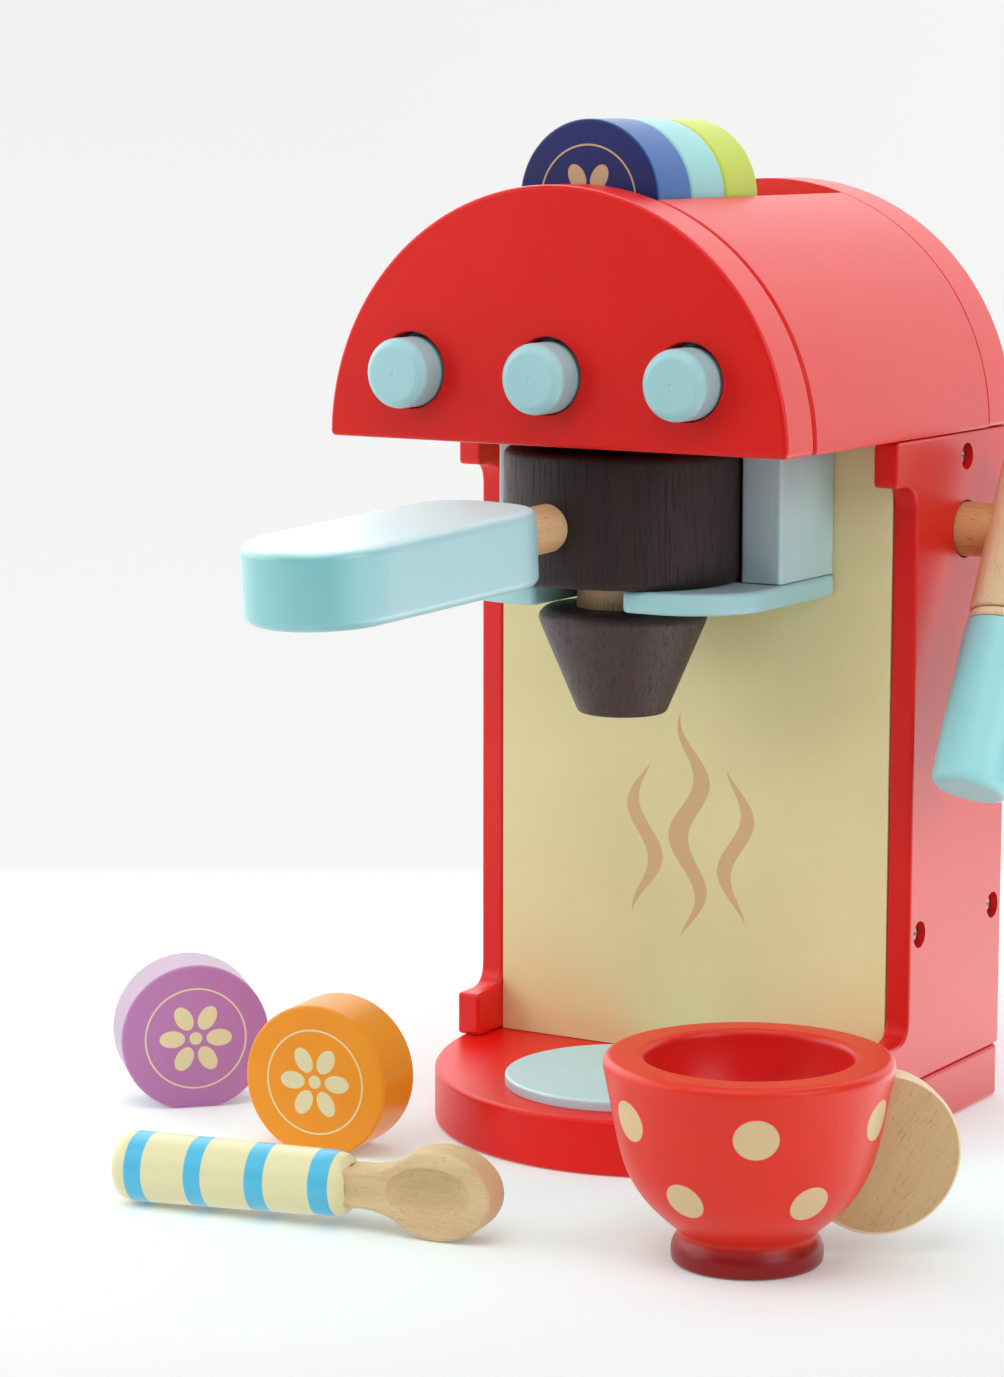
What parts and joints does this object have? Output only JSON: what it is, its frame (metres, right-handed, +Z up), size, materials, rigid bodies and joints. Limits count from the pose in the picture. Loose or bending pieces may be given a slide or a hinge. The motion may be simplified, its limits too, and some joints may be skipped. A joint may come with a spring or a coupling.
{
  "type": "toy coffee maker",
  "caption": "Wooden toy espresso machine with push buttons, a swinging filter handle, a steam arm, lift-out capsules, a cup and a spoon.",
  "frame": {"origin": "middle of the base plate's underside, on the table", "axes": "+Z up, +X to the machine's right as seen from its front, -Y out of its front, where the buttons are"},
  "size_m": [0.2682, 0.2335, 0.2747],
  "materials": {
    "red_painted_wood": "satin paint",
    "aqua_painted_wood": "satin paint",
    "cream_painted_wood": "satin paint",
    "bare_beech": "bare, sanded",
    "dark_stained_wood": "dark stain",
    "plain_plywood": "bare, sawn",
    "navy_painted_wood": "satin paint",
    "pale_aqua_painted_wood": "satin paint",
    "lime_painted_wood": "satin paint",
    "purple_painted_wood": "satin paint",
    "orange_painted_wood": "satin paint",
    "screw_steel": "zinc plated",
    "spring_steel": "drawn wire"
  },
  "bodies": {
    "machine": {"base_plate": "red_painted_wood", "drip_disc": "aqua_painted_wood", "base_screw_1": "screw_steel", "base_screw_2": "screw_steel", "base_screw_3": "screw_steel", "base_screw_4": "screw_steel", "left_side_panel": "red_painted_wood", "right_side_panel": "red_painted_wood", "left_screw_1": "screw_steel", "left_screw_2": "screw_steel", "left_screw_3": "screw_steel", "right_screw_1": "screw_steel", "right_screw_2": "screw_steel", "right_screw_3": "screw_steel", "front_panel": "cream_painted_wood", "back_panel": "red_painted_wood", "top_board": "plain_plywood", "head_front_plate": "red_painted_wood", "head_left_wall": "red_painted_wood", "head_right_wall": "red_painted_wood", "head_rear_plate": "red_painted_wood", "head_floor": "red_painted_wood", "capsule_channel": "plain_plywood", "button_guide": "plain_plywood", "spring_left": "spring_steel", "spring_centre": "spring_steel", "spring_right": "spring_steel", "fork_plate": "aqua_painted_wood", "holder_block": "aqua_painted_wood"},
    "button_left": {"button_left": "aqua_painted_wood"},
    "button_centre": {"button_centre": "aqua_painted_wood"},
    "button_right": {"button_right": "aqua_painted_wood"},
    "spout": {"spout_cone": "dark_stained_wood", "spindle": "bare_beech"},
    "filter": {"filter_drum": "dark_stained_wood", "filter_dowel": "bare_beech", "filter_handle": "aqua_painted_wood"},
    "steam_arm": {"arm_peg": "bare_beech", "arm_retainer": "plain_plywood", "arm_stick": "bare_beech", "arm_ring": "bare_beech", "arm_sleeve": "aqua_painted_wood", "arm_tenon": "bare_beech"},
    "capsule_navy": {"capsule_navy": "navy_painted_wood"},
    "capsule_aqua": {"capsule_aqua": "pale_aqua_painted_wood"},
    "capsule_lime": {"capsule_lime": "lime_painted_wood"},
    "capsule_purple": {"capsule_purple": "purple_painted_wood"},
    "capsule_orange": {"capsule_orange": "orange_painted_wood"},
    "cup": {"cup_bowl": "red_painted_wood", "cup_handle": "bare_beech"},
    "spoon": {"spoon_handle": "cream_painted_wood", "spoon_bowl": "bare_beech"}
  },
  "joints": [
    {"name": "button_left_press", "type": "slide", "parent": "machine", "child": "button_left", "axis": [0, 1, 0], "range_m": [0, 0.005], "stiffness_N_per_m": 200, "deforming": ["spring_left"]},
    {"name": "button_centre_press", "type": "slide", "parent": "machine", "child": "button_centre", "axis": [0, 1, 0], "range_m": [0, 0.005], "stiffness_N_per_m": 200, "deforming": ["spring_centre"]},
    {"name": "button_right_press", "type": "slide", "parent": "machine", "child": "button_right", "axis": [0, 1, 0], "range_m": [0, 0.005], "stiffness_N_per_m": 200, "deforming": ["spring_right"]},
    {"name": "portafilter_slide", "type": "slide", "parent": "machine", "child": "spout", "axis": [0, -1, 0], "range_m": [0, 0.06]},
    {"name": "portafilter_swing", "type": "hinge", "parent": "spout", "child": "filter", "pos_m": [0, -0.0291, 0.171], "axis": [0, 0, 1], "range_deg": [-78, 88]},
    {"name": "arm_swing", "type": "hinge", "parent": "machine", "child": "steam_arm", "pos_m": [0.0644, 0.0398, 0.1643], "axis": [1, 0, 0], "continuous": true},
    {"name": "capsule_navy_lift", "type": "slide", "parent": "machine", "child": "capsule_navy", "axis": [0, 0, 1], "range_m": [0, 0.045]},
    {"name": "capsule_aqua_lift", "type": "slide", "parent": "machine", "child": "capsule_aqua", "axis": [0, 0, 1], "range_m": [0, 0.045]},
    {"name": "capsule_lime_lift", "type": "slide", "parent": "machine", "child": "capsule_lime", "axis": [0, 0, 1], "range_m": [0, 0.045]},
    {"name": "capsule_purple_lift", "type": "slide", "parent": "machine", "child": "capsule_purple", "axis": [0, 0, 1], "range_m": [0, 0.06]},
    {"name": "capsule_orange_lift", "type": "slide", "parent": "machine", "child": "capsule_orange", "axis": [0, 0, 1], "range_m": [0, 0.06]},
    {"name": "cup_lift", "type": "slide", "parent": "machine", "child": "cup", "axis": [0, 0, 1], "range_m": [0, 0.06]},
    {"name": "spoon_lift", "type": "slide", "parent": "machine", "child": "spoon", "axis": [0, 0, 1], "range_m": [0, 0.06]}
  ]
}
